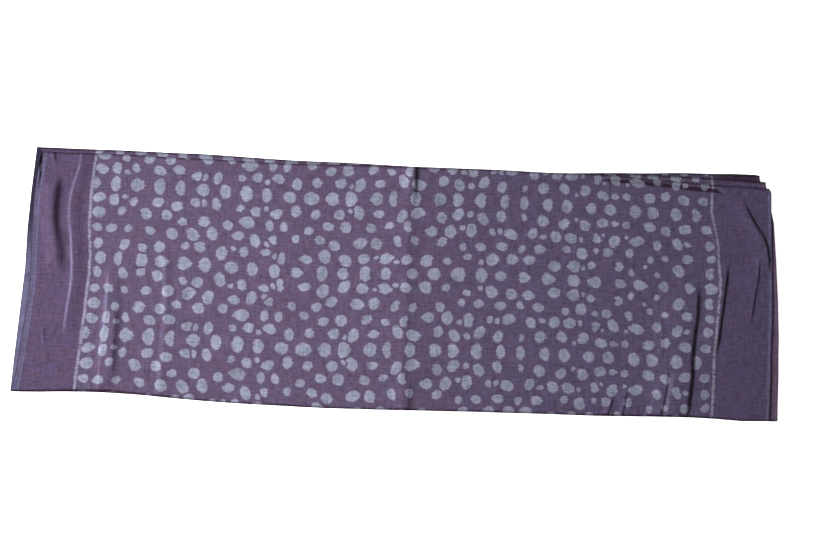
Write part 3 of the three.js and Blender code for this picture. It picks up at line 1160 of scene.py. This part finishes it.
# The last four colours paint light and shade: red shade on the lower selvedges at the right, dark maroon
# shade in the folds, cut ends and edge tuck, near-black for the outer edge and for shade on the lower
# selvedges at the far left, and a blue highlight on crests
PAINTED_SHADE_RED = (0.130, 0.045, 0.070, 1)
PAINTED_SHADE_MAROON = (0.018, 0.007, 0.015, 1)
DARK_EDGE_AND_SHADE = (0.020, 0.016, 0.030, 1)
GLINT_BLUE = (0.235, 0.230, 0.330, 1)
print("a pebble is", round(sum(PALE_CORE[:3]) / sum(MAROON[:3]), 1), "times as bright as the maroon")

# %% Dye the ground and the pebbles
# The tone of the ground adds up clouds and these shares of the streaks of the warp and the weft
CLOUD_GRAIN = (0.035, 0.07, 9.0)
WARP_STREAK_GRAIN = (0.33, 0.05, 2.0)
WEFT_STREAK_GRAIN = (0.08, 0.36, 4.0)
STREAK_SWAY = 2.5
TONE_SHARES = (0.5, 1.1)
TONE_RANGE = (-0.28, 0.28)
HALO_SHARE = 0.35
RIGHT_RANGE = (HALF_WIDTH - 60, HALF_WIDTH + 300)
RIGHT_SHARE = 0.36

clouds = cloudy(over_cloth(CLOUD_GRAIN, weft, warp), detail=3.0)
sway = clouds * STREAK_SWAY
warp_place = point(weft * WARP_STREAK_GRAIN[0] + sway, warp * WARP_STREAK_GRAIN[1], WARP_STREAK_GRAIN[2])
weft_place = point(weft * WEFT_STREAK_GRAIN[0], warp * WEFT_STREAK_GRAIN[1] + sway, WEFT_STREAK_GRAIN[2])
warp_streaks = cloudy(warp_place, detail=3.0)
weft_streaks = cloudy(weft_place, detail=3.0)
tone = between(clouds + warp_streaks * TONE_SHARES[0] + weft_streaks * TONE_SHARES[1], *TONE_RANGE)
ground = mixed(tone, MAROON, VIOLET)
ground = mixed(in_border * tone, mixed(halo * HALO_SHARE, ground, HALO_BLUE), BORDER_VIOLET)
ground = mixed(between(weft, *RIGHT_RANGE) * RIGHT_SHARE, ground, RIGHT_BLUE)
dyed = mixed(pebble, ground, mixed(core, PALE_RIM, PALE_CORE))
print(sum(node.bl_idname == "ShaderNodeMix" for node in nodes), "mixes of colour in the ground and pebbles")

# %% Colour the lines and the selvedges, and paint the highlight and the shades
# A share is how much of its colour a part takes. On a pebble it takes less.
LINE_BREAKS = (-0.40, 0.05)
LINE_SHARE = (0.86, 1.0)
STRIPE_SHARE = 0.7
RIM_SHARE = 0.25
RIM_LINE_SHARE = 0.3
RIM_BY_HALF = (1.0, 0.4)
FAR_SHADE_SHARE = 0.95
NEAR_BLUE_SHARE = 0.65
RIGHT_SHADE_SHARE = 0.36
GLINT_SHARE = 0.55
GLINT_LESS_ON_PEBBLE = 0.25
TUCK_SHADE_SHARE = 0.9
TUCK_LESS_ON_PEBBLE = 0.6
FOLD_SHADE_SHARE = 0.95
FOLD_LESS_ON_PEBBLE = 0.3

line_share = border_line * between(clouds + weft_streaks, *LINE_BREAKS) * by_half(*LINE_SHARE)
# The rim is bluer on the left than on the right by a painted sheen, where the light falls from the left
rim_share = (rim * RIM_SHARE + rim_lines * RIM_LINE_SHARE) * by_half(*RIM_BY_HALF)
# Painted shade on the lower layers' selvedges: nearly black at the far left and red at the right. The near
# left is blue.
far_shade_share = lower_selvedge * on_left * far_half * FAR_SHADE_SHARE
near_share = lower_selvedge * on_left * (far_half * -1 + 1) * NEAR_BLUE_SHARE
right_shade_share = lower_selvedge * (on_left * -1 + 1) * RIGHT_SHADE_SHARE
dyed = mixed(line_share, dyed, LINE_LILAC)
dyed = mixed(stripe * STRIPE_SHARE, dyed, SELVEDGE_BLUE)
dyed = mixed(rim_share, dyed, SELVEDGE_BLUE)
dyed = mixed(dark_edge, dyed, DARK_EDGE_AND_SHADE)
dyed = mixed(far_shade_share, dyed, DARK_EDGE_AND_SHADE)
dyed = mixed(near_share, dyed, SELVEDGE_BLUE)
dyed = mixed(right_shade_share, dyed, PAINTED_SHADE_RED)
# Painted highlight: pale blue on the lit side of a few crests
dyed = mixed(glint * (pebble * -GLINT_LESS_ON_PEBBLE + GLINT_SHARE), dyed, GLINT_BLUE)
# Painted shade: a dark maroon line along the edge tuck
dyed = mixed(tuck * (pebble * -TUCK_LESS_ON_PEBBLE + 1) * TUCK_SHADE_SHARE, dyed, PAINTED_SHADE_MAROON)
# Painted shade: dark maroon in the folds and at the cut ends, by the shade each vertex keeps
dyed = mixed(fold_shade * (pebble * -FOLD_LESS_ON_PEBBLE + 1) * FOLD_SHADE_SHARE, dyed, PAINTED_SHADE_MAROON)
print(sum(node.bl_idname == "ShaderNodeMix" for node in nodes), "mixes of colour in all")

# %% [markdown]
# ## The weave
#
# Plain weave passes each weft thread over and under the warp in turn. Two crossed sine waves, one for each
# direction, give its chequer. It darkens the gaps between the threads, and a Bump node raises the threads
# by less than a tenth of a millimetre, together with the slubs of uneven yarn. The plain borders are a
# little darker than the field, the cloth left of the storage crease is painted a little lighter, as painted
# light on the side that tilts towards the lamp, and the pebbles differ in brightness. Cotton has next to no
# gloss.

# %% Weave the cloth
# A depth is how much a part of the weave lightens and darkens the cloth
THREAD_PITCH = 0.55
UNEVEN_GRAIN = (0.03, 0.03, 30.0)
UNEVEN_PEBBLE = 0.5
UNEVEN_GROUND = 0.2
CHEQUER_DEPTH = 0.10
WARP_STREAK_DEPTH = 0.95
WEFT_STREAK_DEPTH = 1.1
BORDER_SHADE = (0.13, 0.03)
CREASE_RANGE = (HALF_WIDTH + 24, HALF_WIDTH + 4)
RIGHT_LIGHT = 0.97
MORE_LEFT_LIGHT = 0.08

across = (weft * (math.pi / THREAD_PITCH)).math("SINE")
lengthwise = (warp * (math.pi / THREAD_PITCH)).math("SINE")
chequer = across * lengthwise
uneven = cloudy(over_cloth(UNEVEN_GRAIN, weft, warp)) * (pebble * UNEVEN_PEBBLE + UNEVEN_GROUND)
streaks = warp_streaks * WARP_STREAK_DEPTH + weft_streaks * WEFT_STREAK_DEPTH
brightness = chequer * CHEQUER_DEPTH + streaks + uneven + 1.0
border_light = in_border * by_half(*BORDER_SHADE) * -1 + 1
# Painted light: the cloth left of the storage crease is lighter, on the side that tilts towards the lamp
crease_light = between(weft, *CREASE_RANGE) * MORE_LEFT_LIGHT + RIGHT_LIGHT
brightness = brightness * border_light * crease_light
woven = mixed(1.0, dyed, point(brightness, brightness, brightness), blend="MULTIPLY")
feed(shader.inputs["Base Color"], woven)
print("threads lie", THREAD_PITCH, "mm apart")

# %% Raise the threads
RELIEF = 0.1
CHEQUER_RELIEF = 0.5
STREAK_RELIEF = 1.5
BUMP_STRENGTH = 0.6
ROUGHNESS = 0.85
GLOSS = 0.03

relief = chequer * CHEQUER_RELIEF + warp_streaks * STREAK_RELIEF + weft_streaks * STREAK_RELIEF
raised = {"Height": relief, "Strength": BUMP_STRENGTH, "Distance": RELIEF * MM}
bump = add_node("ShaderNodeBump", {}, raised)
feed(shader.inputs["Normal"], Wire(bump.outputs[0]))
feed(shader.inputs["Roughness"], ROUGHNESS)
feed(shader.inputs["Specular IOR Level"], GLOSS)
cloth.data.materials.append(cotton)
print(len(nodes), "nodes in the cloth's finish")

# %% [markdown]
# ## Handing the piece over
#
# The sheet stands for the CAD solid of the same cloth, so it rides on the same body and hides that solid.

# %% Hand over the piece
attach(cloth, "root")
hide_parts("cloth")
